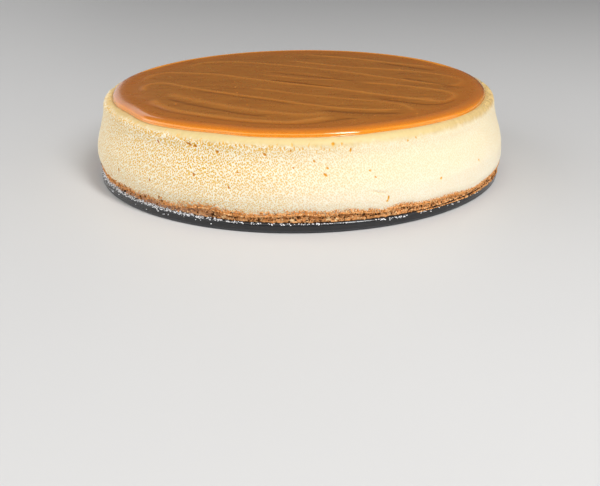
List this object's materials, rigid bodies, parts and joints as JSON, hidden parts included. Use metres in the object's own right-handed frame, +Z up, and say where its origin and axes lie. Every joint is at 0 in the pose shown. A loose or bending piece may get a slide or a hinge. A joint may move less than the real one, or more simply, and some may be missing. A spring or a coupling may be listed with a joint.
{
  "type": "cheesecake",
  "caption": "Whole round baked cheesecake with a caramel topping and a crumb crust, standing on its dark springform base plate.",
  "frame": {"origin": "centre of the springform base's underside, on the surface that the cake stands on", "axes": "+Z up through the middle of the cake, -Y towards the picture's camera, +X to its right"},
  "size_m": [0.2329, 0.2326, 0.0475],
  "materials": {
    "tin_coating": "satin",
    "crumb_crust": "matte",
    "baked_cheese": "satin",
    "caramel": "gloss"
  },
  "bodies": {
    "root": {"springform_base": "tin_coating", "crumb_crust": "crumb_crust", "cheese_filling": "baked_cheese", "caramel_topping": "caramel"}
  },
  "joints": []
}
